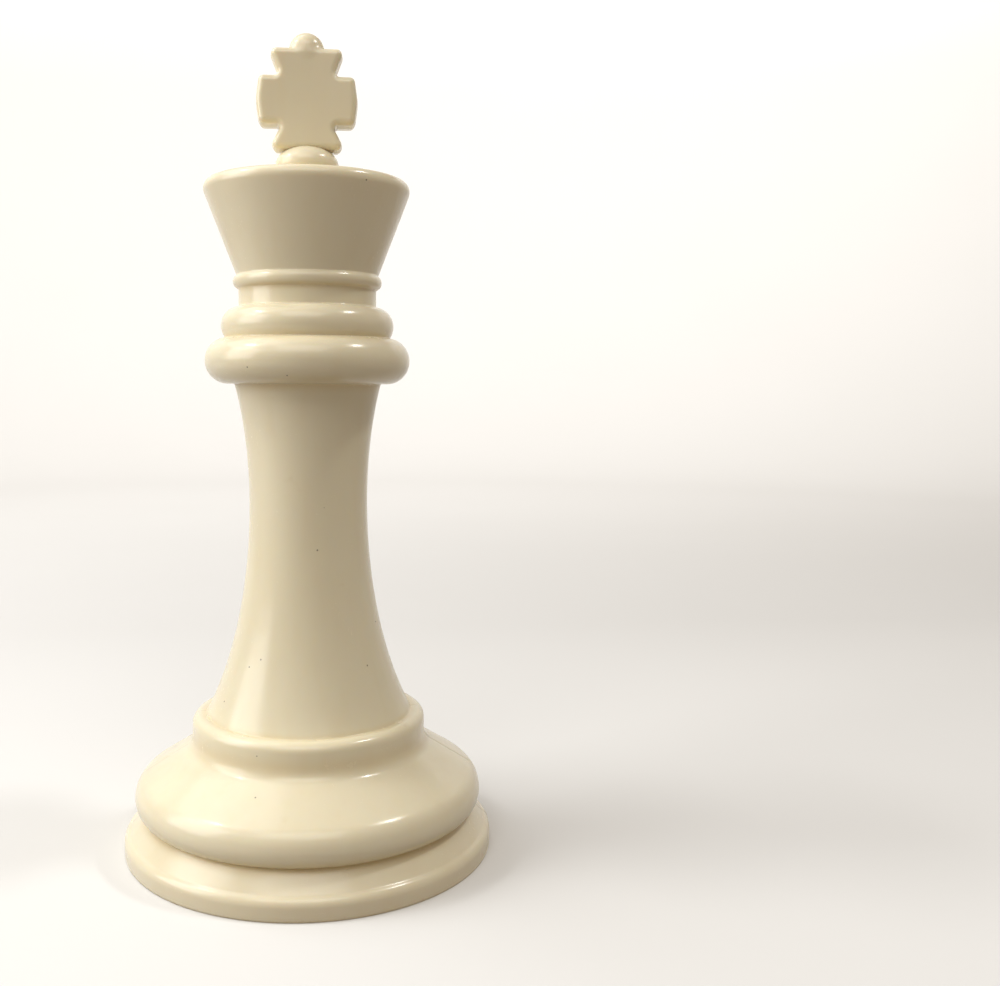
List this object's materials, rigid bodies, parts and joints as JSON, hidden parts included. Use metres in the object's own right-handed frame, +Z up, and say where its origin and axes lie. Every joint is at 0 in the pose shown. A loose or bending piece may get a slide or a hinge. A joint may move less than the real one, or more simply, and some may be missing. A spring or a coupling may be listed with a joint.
{
  "type": "giant chess king",
  "caption": "Hollow plastic garden chess king in two moulded halves, with a screwed base plate and a screw-in ballast plug.",
  "frame": {"origin": "centre of the foot's flat ring, on the ground", "axes": "+Z up along the king's axis; X along the arms of the cross; the front looks along -Y and the halves part in the plane Y = 0"},
  "size_m": [0.1406, 0.1406, 0.305],
  "materials": {
    "ivory_plastic": "glossy moulded ivory plastic",
    "plate_plastic": "satin moulded ivory plastic with fine texture",
    "plug_plastic": "satin black plastic",
    "seal_rubber": "matte black rubber",
    "screw_steel": "zinc-plated steel"
  },
  "bodies": {
    "king": {"front_shell": "ivory_plastic", "rear_shell": "ivory_plastic", "base_plate": "plate_plastic", "base_screw_1": "screw_steel", "base_screw_2": "screw_steel", "base_screw_3": "screw_steel", "base_screw_4": "screw_steel", "base_screw_5": "screw_steel", "base_screw_6": "screw_steel"},
    "seal": {"plug_seal": "seal_rubber"},
    "plug": {"fill_plug": "plug_plastic"}
  },
  "joints": [
    {"name": "plug_travel", "type": "slide", "parent": "king", "child": "seal", "axis": [0, 0, -1], "range_m": [0, 0.009]},
    {"name": "plug_turn", "type": "hinge", "parent": "seal", "child": "plug", "pos_m": [0, 0, 0.003], "axis": [0, 0, -1], "range_deg": [0, 1080]}
  ],
  "couplings": [
    {"joint": "plug_travel", "follows": "plug_turn", "m_per_rad": 0.00047746}
  ]
}
